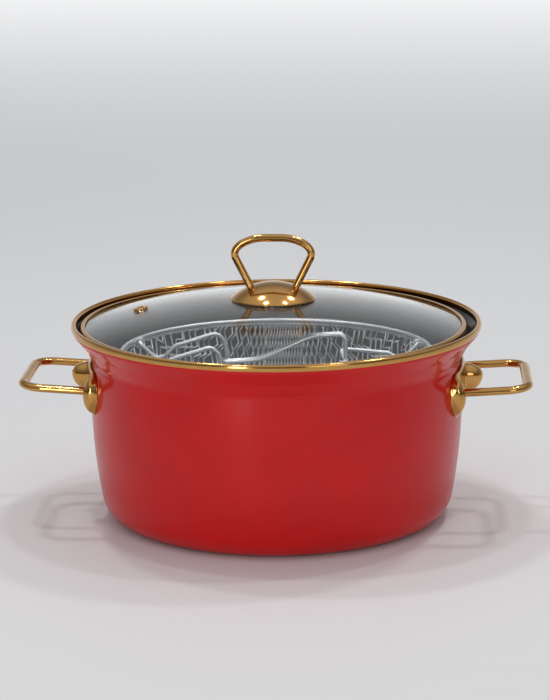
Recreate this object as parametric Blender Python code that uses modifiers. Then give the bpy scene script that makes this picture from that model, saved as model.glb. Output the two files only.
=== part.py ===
"""Enamelled frying casserole: pot with two side handles, an inset glass lid and a wire basket.

Metres, +Z up. The origin is the centre of the pot's base on the surface it stands on.
+X runs through the two side handles, and the basket's long handle is hinged at +X.
"""

from math import asin, atan2, ceil, cos, pi, radians, sin, sqrt

import bmesh
import bpy
from mathutils import Matrix, Vector

MM = 0.001
TURN_STEPS = 40          # sides of every wide turned piece, so that neighbours keep their gap
SMALL_STEPS = 20         # sides of the knob's, the vent's and the eyes' turned pieces
BEND_STEP = radians(31)  # turn between two points of a bend
MERGE = 0.00001
CLEARANCE = 0.3 * MM     # between pieces that touch
CUT_OVERRUN = 4 * MM     # how far a cutter passes the wall it cuts

# Pot: pressed steel, enamelled on both sides.
BELLY_RADIUS = 125.35 * MM
BELLY_CURVE = 367.0 * MM     # radius of the wall's bulge
BELLY_DROP = 28.5 * MM       # the wall is widest this far below the collar's foot
BASE_CORNER = 18.4 * MM
COLLAR_FOOT = 110.4 * MM     # height at which the wall turns into the collar under the rim
COLLAR_HEIGHT = 9.2 * MM
COLLAR_SPREAD = 5.2 * MM     # how much wider the collar's top is than its foot
COLLAR_KNEE = Vector((1.73, 2.3)) * MM    # soft bend at the collar's foot: out and up
FLARE_HEIGHT = 8.9 * MM
FLARE_SPREAD = 7.6 * MM
RIM_HEIGHT = 4.2 * MM        # upright edge above the flare
RIM_BEND = 3.5 * MM
FLARE_BEND = 4.0 * MM
COLLAR_BEND = 6.0 * MM
POT_WALL = 1.4 * MM

# Rim trim: a strip rolled over the pot's edge.
TRIM_SHEET = 0.8 * MM
TRIM_HEADROOM = 0.7 * MM
TRIM_OUTER_DROP = 4.2 * MM
TRIM_INNER_DROP = 3.4 * MM
TRIM_ROUND = 1.7 * MM

# Side handles: a flattened rod in a pressed plate on each side.
ROD_WIDTH = 7.0 * MM
ROD_HEIGHT = 5.3 * MM
ROD_SPACING = 79.0 * MM      # between the two arms of one handle
ROD_BEND = 11.5 * MM
ROD_RISE = radians(3.4)
ROD_SEAT = 0.8 * MM          # rod's end, out from the pot's widest wall
HANDLE_DROP = 17.4 * MM      # rod's root, below the collar's foot
HANDLE_REACH = 46.7 * MM     # outer edge of the rod, out from the pot's widest wall
PLATE_SHEET = 1.5 * MM
PLATE_EASE = 0.1 * MM        # more room for the plate's facets on the round wall
PLATE_BELOW = 10.8 * MM      # plate's lower edge below the rod's root
PLATE_ABOVE = 8.2 * MM
LOBE = Vector((6.4, 8.6, 13.0)) * MM      # proud of the wall, half width, half height
LOBE_DROP = 3.0 * MM                      # lobe's centre below the rod
BOSS = Vector((11.5, 9.0, 7.5)) * MM
BOSS_RISE = 1.5 * MM

# Lid: domed glass in a steel band, resting inside the rim.
LID_PLAY = 7.04 * MM         # lid's radius less than the rim's
LID_SIDE_PLAY = -1.9 * MM    # the lid lies this far off centre along X
LID_SEAT_GAP = 0.41 * MM     # between the band's lower edge and the flare that it rests on
BAND_HEIGHT = 8.0 * MM
BAND_WIDTH = 3.2 * MM
BAND_LIP = 0.9 * MM
BAND_ROUND = 1.6 * MM
GLASS_THICKNESS = 4.0 * MM
GLASS_RISE = 18.44 * MM
GLASS_INSET = 1.0 * MM       # glass edge, in from the band's outer face
GLASS_EDGE_DROP = 1.8 * MM   # glass edge's top, below the band's top
VENT_OFFSET = 89.7 * MM
VENT_HOLE = 3.4 * MM
VENT_FLANGE = 5.0 * MM
VENT_SHEET = 0.8 * MM

# Knob: a bent rod on a domed cap, screwed through the glass.
CAP_RADIUS = 28.5 * MM
CAP_RISE = 10.7 * MM
CAP_SHEET = 1.0 * MM
CAP_STANDOFF = 1.1 * MM      # cap's edge above the glass
KNOB_ROD = 5.2 * MM
KNOB_FOOT = 15.3 * MM
KNOB_SHOULDER = 26.8 * MM
KNOB_SHOULDER_RISE = 18.65 * MM
KNOB_CROWN = 12.0 * MM
KNOB_CROWN_DROP = 4.16 * MM  # shoulder's inner end below the crown
KNOB_HEIGHT = 32.5 * MM      # top of the rod above the cap's crown
KNOB_BENDS = (6 * MM, 12 * MM, 30 * MM)
SCREW_RADIUS = 2.5 * MM
BOSS_WALL = 2.0 * MM
SCREW_HEAD = Vector((5.5, 0, 3.5)) * MM   # radius and height
SCREW_CROWN = 3.85 * MM      # radius of the flat on the screw's head
SCREW_BITE = 5.0 * MM        # length of screw inside the threaded boss
SEAL_RADIUS = 12.0 * MM
SEAL_THICKNESS = 1.6 * MM
LOWER_SEAL_RADIUS = 9.0 * MM
WASHER_RADIUS = 8.0 * MM
WASHER_THICKNESS = 1.0 * MM

# Basket: wire mesh cup hung on rim wires, standing on a foot wire.
BASKET_PLAY = 16.84 * MM     # between the basket's rim wire and the pot's wall
BASKET_RIM_RISE = 0.6 * MM   # rim wire's centre above the collar's foot
RIM_WIRE = 2.8 * MM
BINDING_WIRE = 1.6 * MM
MESH_SHEET = 1.0 * MM
MESH_PLAY = 0.2 * MM         # more room for the cup inside the binding wire
MESH_TAPER = 4.2 * MM        # how much narrower the cup is at its foot
MESH_CORNER = 8.0 * MM
FOOT_WIRE = 3.0 * MM
FOOT_INSET = 16.0 * MM
EYE_WIRE = 1.6 * MM
EYE_SPACING = 50.0 * MM      # between the two eyes of one handle

# Folding handles: points are (along, up) from the hinge, with the folded handle running to -X.
HANDLE_WIRE = 2.8 * MM
PIN_PLAY = 0.4 * MM
PIN_LENGTH = 6.0 * MM
GRIP_GAP = 1.4 * MM          # between the long grip's two wires
ARM_DIP = Vector((-11.2, -10.6)) * MM
LONG_ARM_HEEL = Vector((-20.2, -6.0)) * MM
LONG_ARM_END = Vector((-52.9, -3.0)) * MM
KNEE_FOOT = Vector((-48.3, -7.5)) * MM
KNEE_TOP = 11.7 * MM
GRIP_CREST = Vector((-70.9, 10.5)) * MM
GRIP_DIP = Vector((23.5, -5.9)) * MM      # back from the grip's tip, and up from the hinge
GRIP_TIP = -7.5 * MM
GRIP_OVERRUN = 35.2 * MM     # the long grip's tip, past the basket's centre
TIP_SHARE = 0.98             # tip's bend, as a share of half the distance between its wires
LONG_BENDS = (2 * MM, 4 * MM, 6 * MM, 5 * MM, 2.5 * MM, 5 * MM, 30 * MM, 35 * MM)
SHORT_ARM_HEEL = Vector((-17.5, -8.5)) * MM
SHORT_ARM_KINK = Vector((-24.4, -1.6)) * MM
BAR_CREST = Vector((4.7, 8.5)) * MM       # back from the cross bar, and up from the hinge
BAR_DROP = -14.5 * MM
BAR_SHORTFALL = 33.9 * MM    # the short handle's cross bar, short of the basket's centre
SHORT_BENDS = (2 * MM, 4 * MM, 5 * MM, 8 * MM, 7 * MM, 5 * MM)

GOLD = (0.62, 0.40, 0.17)
STEEL = (0.80, 0.80, 0.82)


def material(name, colour, roughness, metallic, alpha=1.0):
    """A Principled material with a plain colour."""
    made = bpy.data.materials.new(name)
    made.use_nodes = True
    shader = made.node_tree.nodes["Principled BSDF"]
    shader.inputs["Base Color"].default_value = (*colour, 1.0)
    shader.inputs["Roughness"].default_value = roughness
    shader.inputs["Metallic"].default_value = metallic
    shader.inputs["Alpha"].default_value = alpha
    made.diffuse_color = (*colour, alpha)
    return made


def clear_scene():
    """Remove the objects of the scene that the script runs in."""
    for obj in list(bpy.data.objects):
        bpy.data.objects.remove(obj, do_unlink=True)


def collection(name):
    """A new collection in the scene."""
    made = bpy.data.collections.new(name)
    bpy.context.scene.collection.children.link(made)
    return made


def add(name, data, finish, parent):
    """A named part made from a mesh or a curve, held by its group's empty."""
    obj = bpy.data.objects.new(name, data)
    data.materials.append(finish)
    PARTS.objects.link(obj)
    obj.parent = parent
    return obj


def group(name, place=(0, 0, 0)):
    """An empty that holds the pieces of one moving or fixed group."""
    empty = bpy.data.objects.new(name, None)
    empty.location = place
    PARTS.objects.link(empty)
    return empty


def cutter(name, mesh, parent=None):
    """A hidden mesh that only shapes other parts."""
    obj = bpy.data.objects.new(name, mesh)
    obj.parent = parent
    obj.hide_render = True
    obj.display_type = "WIRE"
    CUTTERS.objects.link(obj)
    return obj


def boolean(obj, other, operation):
    """Join another solid to a part, or cut it away."""
    step = obj.modifiers.new(operation.title(), "BOOLEAN")
    step.operation = operation
    step.solver = "EXACT"
    step.object = other


def primitive(make, transform=None, **sizes):
    """A mesh from one of bmesh's own shapes."""
    shape = bmesh.new()
    make(shape, **sizes)
    if transform is not None:
        bmesh.ops.transform(shape, matrix=transform, verts=shape.verts)
    mesh = bpy.data.meshes.new("shape")
    shape.to_mesh(mesh)
    shape.free()
    return mesh


def rounded(corners, radii):
    """A run of straight lines through the corners, with each inner corner bent to its radius."""
    path = [Vector(corners[0])]
    for before, corner, after, radius in zip(corners, corners[1:], corners[2:], radii):
        corner = Vector(corner)
        back = (Vector(before) - corner).normalized()
        ahead = (Vector(after) - corner).normalized()
        turn = pi - back.angle(ahead)
        if radius <= 0 or turn < BEND_STEP / 2:
            path.append(corner)
            continue
        reach = radius * (sin(turn / 2) / cos(turn / 2))
        centre = corner + (back + ahead).normalized() * radius / cos(turn / 2)
        start = corner + back * reach - centre
        finish = corner + ahead * reach - centre
        steps = ceil(turn / BEND_STEP)
        for step in range(steps + 1):
            share = step / steps
            arm = start * sin(turn * (1 - share)) + finish * sin(turn * share)
            path.append(centre + arm / sin(turn))
    path.append(Vector(corners[-1]))
    return path


def turned(name, outline, finish, parent, sheet=0.0, closed=False, steps=TURN_STEPS):
    """A part turned about Z. The outline is (radius, height), running down its outer side."""
    mesh = bpy.data.meshes.new(name)
    points = [(point[0], 0, point[1]) for point in outline]
    edges = [(i, i + 1) for i in range(len(points) - 1)]
    if closed:
        edges.append((len(points) - 1, 0))
    mesh.from_pydata(points, edges, [])
    obj = add(name, mesh, finish, parent)
    spin = obj.modifiers.new("Turn", "SCREW")
    spin.axis = "Z"
    spin.steps = spin.render_steps = steps
    spin.use_merge_vertices = True
    spin.merge_threshold = MERGE
    spin.use_smooth_shade = True
    if sheet:
        wall = obj.modifiers.new("Sheet", "SOLIDIFY")
        wall.thickness = sheet
        wall.offset = -1
        wall.use_even_offset = True
        wall.use_quality_normals = True
    return obj


def wire(name, path, thickness, finish, parent):
    """A round wire or rod along a path, with closed ends."""
    curve = bpy.data.curves.new(name, "CURVE")
    curve.dimensions = "3D"
    curve.bevel_depth = thickness / 2
    curve.bevel_resolution = 2
    curve.use_fill_caps = True
    spline = curve.splines.new("POLY")
    spline.points.add(len(path) - 1)
    for point, place in zip(spline.points, path):
        point.co = (*place, 1)
    return add(name, curve, finish, parent)


def ring(name, radius, thickness, height, finish, parent, steps=TURN_STEPS, sides=6):
    """A wire bent to a full circle about Z."""
    outline = [
        (radius + thickness / 2 * sin(2 * pi * k / sides), height + thickness / 2 * cos(2 * pi * k / sides))
        for k in range(sides)
    ]
    return turned(name, outline, finish, parent, closed=True, steps=steps)


def mirrored(half):
    """A half path that ends on the plane Y = 0, continued on the other side."""
    return half + [Vector((p.x, -p.y, p.z)) for p in reversed(half)]


BELLY_HEIGHT = COLLAR_FOOT - BELLY_DROP


def belly(height):
    """The pot's outer radius at a height on its bulged wall."""
    rise = height - BELLY_HEIGHT
    return BELLY_RADIUS - BELLY_CURVE + sqrt(BELLY_CURVE**2 - rise**2)


# Heights and radii that follow from the sizes above.
COLLAR_TOP = COLLAR_FOOT + COLLAR_HEIGHT
FLARE_TOP = COLLAR_TOP + FLARE_HEIGHT
RIM_TOP = FLARE_TOP + RIM_HEIGHT
COLLAR_RADIUS = belly(COLLAR_FOOT) + COLLAR_SPREAD
RIM_RADIUS = COLLAR_RADIUS + FLARE_SPREAD
TRIM_TOP = RIM_TOP + TRIM_HEADROOM + TRIM_SHEET
HANDLE_HEIGHT = COLLAR_FOOT - HANDLE_DROP
PLATE_FACE = BELLY_RADIUS + CLEARANCE + PLATE_EASE
LID_RADIUS = RIM_RADIUS - LID_PLAY
FLARE_LEAN = atan2(FLARE_SPREAD, FLARE_HEIGHT)
LID_SEAT = COLLAR_TOP + (
    LID_SEAT_GAP
    + POT_WALL
    + (LID_RADIUS + abs(LID_SIDE_PLAY) - COLLAR_RADIUS) * cos(FLARE_LEAN)
    - BAND_ROUND * (cos(FLARE_LEAN) + sin(FLARE_LEAN) - 1)
) / sin(FLARE_LEAN)
LID_TOP = LID_SEAT + BAND_HEIGHT
GLASS_RADIUS = LID_RADIUS - GLASS_INSET
GLASS_EDGE = LID_TOP - GLASS_EDGE_DROP
GLASS_TOP = GLASS_EDGE + GLASS_RISE
GLASS_CURVE = (GLASS_RADIUS**2 + GLASS_RISE**2) / (2 * GLASS_RISE)
BOSS_RADIUS = SCREW_RADIUS + CLEARANCE + BOSS_WALL
GLASS_HOLE = BOSS_RADIUS + CLEARANCE
CAP_CURVE = (CAP_RADIUS**2 + CAP_RISE**2) / (2 * CAP_RISE)
BASKET_RADIUS = belly(COLLAR_FOOT) - POT_WALL - BASKET_PLAY - RIM_WIRE / 2
BASKET_RIM_HEIGHT = COLLAR_FOOT + BASKET_RIM_RISE
CUP_RADIUS = BASKET_RADIUS - BINDING_WIRE / 2 - CLEARANCE - MESH_PLAY
HINGE_HEIGHT = BASKET_RIM_HEIGHT
GRIP_HALF_GAP = (GRIP_GAP + HANDLE_WIRE) / 2


def glass_height(radius):
    """The top of the glass at a distance from the lid's centre."""
    return GLASS_TOP - GLASS_CURVE + sqrt(GLASS_CURVE**2 - radius**2)


CAP_EDGE = glass_height(CAP_RADIUS) + CAP_STANDOFF
CAP_TOP = CAP_EDGE + CAP_RISE


def cap_height(radius):
    """The top of the knob's cap at a distance from its centre."""
    return CAP_TOP - CAP_CURVE + sqrt(CAP_CURVE**2 - radius**2)


def make_pot(enamel, parent):
    """The pot: flat base, rounded corner, bulged wall, collar, flare and upright rim."""
    lean = asin((BELLY_HEIGHT - BASE_CORNER) / (BELLY_CURVE - BASE_CORNER))
    corner_top = BASE_CORNER * (1 - sin(lean))
    corner_centre = belly(corner_top) - BASE_CORNER * cos(lean)
    head = rounded(
        [
            (RIM_RADIUS, RIM_TOP),
            (RIM_RADIUS, FLARE_TOP),
            (COLLAR_RADIUS, COLLAR_TOP),
            (belly(COLLAR_FOOT) + COLLAR_KNEE.x, COLLAR_FOOT + COLLAR_KNEE.y),
            (belly(COLLAR_FOOT), COLLAR_FOOT),
        ],
        [RIM_BEND, FLARE_BEND, COLLAR_BEND],
    )
    steps = 5
    wall = [
        (belly(z), z)
        for z in (COLLAR_FOOT + (corner_top - COLLAR_FOOT) * k / steps for k in range(1, steps + 1))
    ]
    foot = [
        (corner_centre + BASE_CORNER * cos(turn), BASE_CORNER * (1 - sin(turn)))
        for turn in (lean + (pi / 2 - lean) * k / steps for k in range(1, steps + 1))
    ]
    return turned("pot_body", head + wall + foot + [(0, 0)], enamel, parent, sheet=POT_WALL)


def make_trim(gold, parent):
    """The strip over the pot's edge, open downwards, clear of the enamel on both sides."""
    outside = RIM_RADIUS + CLEARANCE + TRIM_SHEET
    inside = RIM_RADIUS - POT_WALL - CLEARANCE - TRIM_SHEET
    outline = rounded(
        [
            (inside, TRIM_TOP - TRIM_INNER_DROP),
            (inside, TRIM_TOP),
            (outside, TRIM_TOP),
            (outside, TRIM_TOP - TRIM_OUTER_DROP),
        ],
        [TRIM_ROUND, TRIM_ROUND],
    )
    return turned("rim_trim", outline, gold, parent, sheet=TRIM_SHEET)


def make_side_handle(side, turn, gold, parent):
    """One flattened rod handle and the pressed plate that holds it, on the +X side, then turned."""
    rod_end = sqrt(BELLY_RADIUS**2 - ((ROD_SPACING - ROD_WIDTH) / 2) ** 2) + ROD_SEAT
    reach = BELLY_RADIUS + HANDLE_REACH - ROD_WIDTH / 2
    arm = ROD_SPACING / 2
    path = rounded(
        [(rod_end, arm, 0), (reach, arm, 0), (reach, -arm, 0), (rod_end, -arm, 0)],
        [ROD_BEND, ROD_BEND],
    )
    pivot = Vector((rod_end, 0, 0))
    rod = wire(f"{side}_handle_rod", [p - pivot for p in path], ROD_WIDTH, gold, parent)
    flatten = Matrix.Diagonal((1, 1, ROD_HEIGHT / ROD_WIDTH, 1))
    pose = (
        Matrix.Rotation(turn, 4, "Z")
        @ Matrix.Translation((rod_end, 0, HANDLE_HEIGHT))
        @ Matrix.Rotation(-ROD_RISE, 4, "Y")
    )
    rod.matrix_basis = pose @ flatten

    face = PLATE_FACE
    half_turn = asin((ROD_SPACING / 2 + LOBE.y) / face)
    edges = (HANDLE_HEIGHT + PLATE_ABOVE, HANDLE_HEIGHT - PLATE_BELOW)
    plate = bpy.data.meshes.new(f"{side}_bracket")
    start = Matrix.Rotation(turn - half_turn, 4, "Z")
    plate.from_pydata([start @ Vector((face - CUT_OVERRUN, 0, z)) for z in edges], [(0, 1)], [])
    bracket = add(f"{side}_bracket", plate, gold, parent)
    sweep = bracket.modifiers.new("Bend", "SCREW")
    sweep.axis = "Z"
    sweep.angle = 2 * half_turn
    sweep.steps = sweep.render_steps = TURN_STEPS // 4
    sweep.use_merge_vertices = True
    sweep.merge_threshold = MERGE
    sheet = bracket.modifiers.new("Sheet", "SOLIDIFY")
    sheet.thickness = PLATE_SHEET + CUT_OVERRUN
    sheet.offset = 1
    for name, size, angle, height in (
        ("near_lobe", LOBE, -asin(ROD_SPACING / 2 / face), HANDLE_HEIGHT - LOBE_DROP),
        ("far_lobe", LOBE, asin(ROD_SPACING / 2 / face), HANDLE_HEIGHT - LOBE_DROP),
        ("boss", BOSS, 0.0, HANDLE_HEIGHT + BOSS_RISE),
    ):
        place = (
            Matrix.Rotation(turn + angle, 4, "Z")
            @ Matrix.Translation((face, 0, height))
            @ Matrix.Diagonal((*size, 1))
        )
        bulge = primitive(bmesh.ops.create_uvsphere, place, u_segments=16, v_segments=10, radius=1)
        boolean(bracket, cutter(f"{side}_{name}", bulge), "UNION")
    core = primitive(
        bmesh.ops.create_cone,
        Matrix.Translation((0, 0, HANDLE_HEIGHT)),
        cap_ends=True,
        segments=2 * TURN_STEPS,
        radius1=face,
        radius2=face,
        depth=2 * (LOBE.z + LOBE_DROP + CUT_OVERRUN),
    )
    boolean(bracket, cutter(f"{side}_wall", core), "DIFFERENCE")
    room = Matrix.Diagonal((1, ROD_WIDTH + 2 * CLEARANCE, ROD_HEIGHT + 2 * CLEARANCE, 1))
    for number, y in enumerate((-arm, arm)):
        hole = primitive(
            bmesh.ops.create_cone,
            pose @ Matrix.Translation((0, y, 0)) @ room @ Matrix.Rotation(pi / 2, 4, "Y"),
            cap_ends=True,
            segments=16,
            radius1=0.5,
            radius2=0.5,
            depth=2 * LOBE.x + 2 * CUT_OVERRUN,
        )
        boolean(bracket, cutter(f"{side}_rod_hole_{number}", hole), "DIFFERENCE")


def make_lid(glass, gold, parent):
    """The domed glass with its two holes, the band round its edge and the vent's eyelet."""
    steps = 6
    dome = [
        (r, glass_height(r))
        for r in (GLASS_HOLE + (GLASS_RADIUS - GLASS_HOLE) * k / steps for k in range(steps + 1))
    ]
    pane = turned("lid_glass", dome, glass, parent, sheet=GLASS_THICKNESS)
    inner = LID_RADIUS - BAND_WIDTH
    groove_top = LID_TOP - BAND_LIP
    tilt = asin(GLASS_RADIUS / GLASS_CURVE)
    groove_bottom = GLASS_EDGE - GLASS_THICKNESS * cos(tilt) - CLEARANCE
    groove = GLASS_RADIUS + CLEARANCE
    band = rounded(
        [
            (inner, LID_TOP),
            (LID_RADIUS, LID_TOP),
            (LID_RADIUS, LID_SEAT),
            (inner, LID_SEAT),
            (inner, groove_bottom),
            (groove, groove_bottom),
            (groove, groove_top),
            (inner, groove_top),
        ],
        [BAND_ROUND, BAND_ROUND, 0, 0, 0, 0],
    )
    turned("lid_band", band, gold, parent, closed=True)

    lean = asin(VENT_OFFSET / GLASS_CURVE)
    seat = Matrix.Translation((-VENT_OFFSET, 0, glass_height(VENT_OFFSET))) @ Matrix.Rotation(-lean, 4, "Y")
    hole = primitive(
        bmesh.ops.create_cone,
        seat,
        cap_ends=True,
        segments=SMALL_STEPS,
        radius1=VENT_HOLE,
        radius2=VENT_HOLE,
        depth=2 * GLASS_THICKNESS + 2 * CUT_OVERRUN,
    )
    boolean(pane, cutter("vent_hole", hole, parent), "DIFFERENCE")
    tube = VENT_HOLE - CLEARANCE
    bore = tube - VENT_SHEET
    top = 2 * CLEARANCE
    bottom = -GLASS_THICKNESS - CLEARANCE
    eyelet = [
        (bore, top + 1.5 * VENT_SHEET),
        (tube, top + 2 * VENT_SHEET),
        (VENT_FLANGE - VENT_SHEET, top + 1.5 * VENT_SHEET),
        (VENT_FLANGE, top),
        (tube, top),
        (tube, bottom),
        (VENT_FLANGE - VENT_SHEET, bottom),
        (VENT_FLANGE - VENT_SHEET, bottom - VENT_SHEET),
        (bore, bottom - VENT_SHEET),
    ]
    vent = turned("vent_eyelet", eyelet, gold, parent, closed=True, steps=SMALL_STEPS)
    vent.matrix_basis = seat


def disc(name, inner, outer, top, thickness, finish, parent):
    """A flat washer, lying flat."""
    outline = [(inner, top), (outer, top), (outer, top - thickness), (inner, top - thickness)]
    return turned(name, outline, finish, parent, closed=True, steps=SMALL_STEPS)


def make_knob(gold, steel, rubber, parent):
    """The cap, the bent rod on it, and the boss, seals, washer and screw that hold them."""
    steps = 5
    cap = [(r, cap_height(r)) for r in (CAP_RADIUS * k / steps for k in range(steps + 1))]
    turned("knob_cap", cap, gold, parent, sheet=CAP_SHEET, steps=SMALL_STEPS)

    foot_height = cap_height(KNOB_FOOT - KNOB_ROD / 2) + CLEARANCE
    shoulder = CAP_TOP + KNOB_SHOULDER_RISE
    crown = CAP_TOP + KNOB_HEIGHT - KNOB_ROD / 2
    half = rounded(
        [
            (KNOB_FOOT, 0, foot_height),
            (KNOB_SHOULDER, 0, shoulder),
            (KNOB_SHOULDER - KNOB_ROD, 0, crown - KNOB_CROWN_DROP),
            (KNOB_CROWN, 0, crown),
            (0, 0, crown),
        ],
        KNOB_BENDS,
    )
    path = half + [Vector((-p.x, 0, p.z)) for p in reversed(half[:-1])]
    wire("knob_rod", path, KNOB_ROD, gold, parent)

    under_cap = cap_height(BOSS_RADIUS) - CAP_SHEET - 2 * CLEARANCE
    under_glass = glass_height(GLASS_HOLE) - GLASS_THICKNESS
    disc("knob_boss", SCREW_RADIUS + CLEARANCE, BOSS_RADIUS, under_cap, under_cap - under_glass, steel, parent)
    seal_hole = BOSS_RADIUS + CLEARANCE
    seal_top = glass_height(0) + CLEARANCE + SEAL_THICKNESS
    disc("knob_upper_seal", seal_hole, SEAL_RADIUS, seal_top, SEAL_THICKNESS, rubber, parent)
    lower = under_glass - 2 * CLEARANCE
    shank = SCREW_RADIUS + CLEARANCE
    disc("knob_lower_seal", shank, LOWER_SEAL_RADIUS, lower, SEAL_THICKNESS, rubber, parent)
    lower -= SEAL_THICKNESS + CLEARANCE
    disc("knob_washer", shank, WASHER_RADIUS, lower, WASHER_THICKNESS, steel, parent)
    lower -= WASHER_THICKNESS + CLEARANCE
    head = SCREW_HEAD
    screw = [
        (0, under_glass + SCREW_BITE),
        (SCREW_RADIUS, under_glass + SCREW_BITE),
        (SCREW_RADIUS, lower),
        (head.x, lower),
        (head.x, lower - head.z / 2),
        (SCREW_CROWN, lower - head.z),
        (0, lower - head.z),
    ]
    turned("knob_screw", screw, steel, parent, steps=SMALL_STEPS)


def hinge_offset():
    """How far from the centre the handle eyes stand, just inside the cup's facets."""
    eye = HANDLE_WIRE / 2 + PIN_PLAY + EYE_WIRE
    inside = (CUP_RADIUS - MESH_SHEET) * cos(pi / TURN_STEPS) - CLEARANCE
    return sqrt(inside**2 - ((EYE_SPACING + EYE_WIRE) / 2) ** 2) - eye


def make_basket(steel, parent):
    """The mesh cup as one plain shell, its rim, binding and foot wires, and the handle eyes."""
    foot_height = POT_WALL + CLEARANCE + FOOT_WIRE / 2
    floor = foot_height + FOOT_WIRE / 2 + CLEARANCE
    binding_height = BASKET_RIM_HEIGHT - (RIM_WIRE + BINDING_WIRE) / 2 - CLEARANCE
    cup_top = binding_height + BINDING_WIRE / 2 + CLEARANCE
    cup = rounded(
        [(CUP_RADIUS, cup_top), (CUP_RADIUS - MESH_TAPER, floor), (0, floor)],
        [MESH_CORNER],
    )
    turned("basket_mesh", cup, steel, parent, sheet=MESH_SHEET)
    ring("basket_rim_wire", BASKET_RADIUS, RIM_WIRE, BASKET_RIM_HEIGHT, steel, parent)
    ring("basket_binding_wire", BASKET_RADIUS, BINDING_WIRE, binding_height, steel, parent)
    ring("basket_foot_wire", BASKET_RADIUS - FOOT_INSET, FOOT_WIRE, foot_height, steel, parent)
    eye_radius = HANDLE_WIRE / 2 + PIN_PLAY + EYE_WIRE / 2
    for side, x in (("left", -hinge_offset()), ("right", hinge_offset())):
        for end, y in (("front", -EYE_SPACING / 2), ("back", EYE_SPACING / 2)):
            eye = ring(f"basket_{side}_{end}_eye", eye_radius, EYE_WIRE, 0, steel, parent, SMALL_STEPS // 2)
            eye.rotation_euler.x = pi / 2
            eye.location = (x, y, HINGE_HEIGHT)


def bent(half, bends, steel, name):
    """A folding handle's wire: half of its corners from pin to middle, bent and mirrored."""
    path = rounded(half, bends)
    return wire(name, mirrored(path[:-1]), HANDLE_WIRE, steel, None)


def corner(point, side):
    """A point of a handle at its distance from the plane Y = 0."""
    return Vector((point[0], side, point[1]))


def handle_foot():
    """The arm's place, and the pin and the arm's dip below the rim."""
    arm = EYE_SPACING / 2 - EYE_WIRE / 2 - PIN_PLAY - HANDLE_WIRE / 2
    return arm, [corner((0, 0), arm + PIN_LENGTH), corner((0, 0), arm), corner(ARM_DIP, arm)]


def make_long_handle(steel, parent):
    """The long folding handle: two arms that close to a doubled grip with a raised knee."""
    arm, foot = handle_foot()
    tip = -hinge_offset() - GRIP_OVERRUN
    half = foot + [
        corner(LONG_ARM_HEEL, arm),
        corner(LONG_ARM_END, arm),
        corner(KNEE_FOOT, GRIP_HALF_GAP),
        corner((KNEE_FOOT.x, KNEE_TOP), GRIP_HALF_GAP),
        corner(GRIP_CREST, GRIP_HALF_GAP),
        corner((tip + GRIP_DIP.x, GRIP_DIP.y), GRIP_HALF_GAP),
        corner((tip, GRIP_TIP), GRIP_HALF_GAP),
        corner((tip, GRIP_TIP), 0),
    ]
    made = bent(half, [*LONG_BENDS, GRIP_HALF_GAP * TIP_SHARE], steel, "basket_long_handle")
    made.parent = parent


def make_short_handle(steel, parent):
    """The short folding handle: one loop that rises and turns down to a cross bar."""
    arm, foot = handle_foot()
    bar = -hinge_offset() + BAR_SHORTFALL
    half = foot + [
        corner(SHORT_ARM_HEEL, arm),
        corner(SHORT_ARM_KINK, arm),
        corner((bar + BAR_CREST.x, BAR_CREST.y), arm),
        corner((bar, BAR_DROP), arm),
        corner((bar, BAR_DROP), 0),
    ]
    made = bent(half, SHORT_BENDS, steel, "basket_short_handle")
    made.parent = parent
    made.rotation_euler.z = pi


clear_scene()
PARTS = collection("frying_casserole")
CUTTERS = collection("cutters")

red_enamel = material("red_enamel", (0.45, 0.02, 0.02), 0.15, 0.0)
gold_steel = material("gold_plated_steel", GOLD, 0.15, 1.0)
clear_glass = material("tempered_glass", (0.8, 0.85, 0.86), 0.02, 0.0, 0.35)
chromed_wire = material("chromed_wire", STEEL, 0.15, 1.0)
plain_steel = material("stainless_steel", STEEL, 0.3, 1.0)
silicone = material("silicone_rubber", (0.06, 0.06, 0.06), 0.7, 0.0)

pot = group("pot")
lid = group("lid", (LID_SIDE_PLAY, 0, 0))
basket = group("basket")
long_hinge = group("long_handle_hinge", (hinge_offset(), 0, HINGE_HEIGHT))
short_hinge = group("short_handle_hinge", (-hinge_offset(), 0, HINGE_HEIGHT))

make_pot(red_enamel, pot)
make_trim(gold_steel, pot)
make_side_handle("right", 0.0, gold_steel, pot)
make_side_handle("left", pi, gold_steel, pot)
make_lid(clear_glass, gold_steel, lid)
make_knob(gold_steel, plain_steel, silicone, lid)
make_basket(chromed_wire, basket)
make_long_handle(chromed_wire, long_hinge)
make_short_handle(chromed_wire, short_hinge)
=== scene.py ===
"""The looks of an enamelled frying casserole with a glass lid and a chromed wire basket.

Every size that the frame can tell is read from it. Metres, +Z up, the pot's side handles along X.
"""

import logging
from collections.abc import Callable, Sequence
from dataclasses import dataclass
from enum import Enum
from math import asin, atan2, ceil, cos, hypot, pi, radians, sin, sqrt

import bmesh
import bpy
from mathutils import Matrix, Vector


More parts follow.
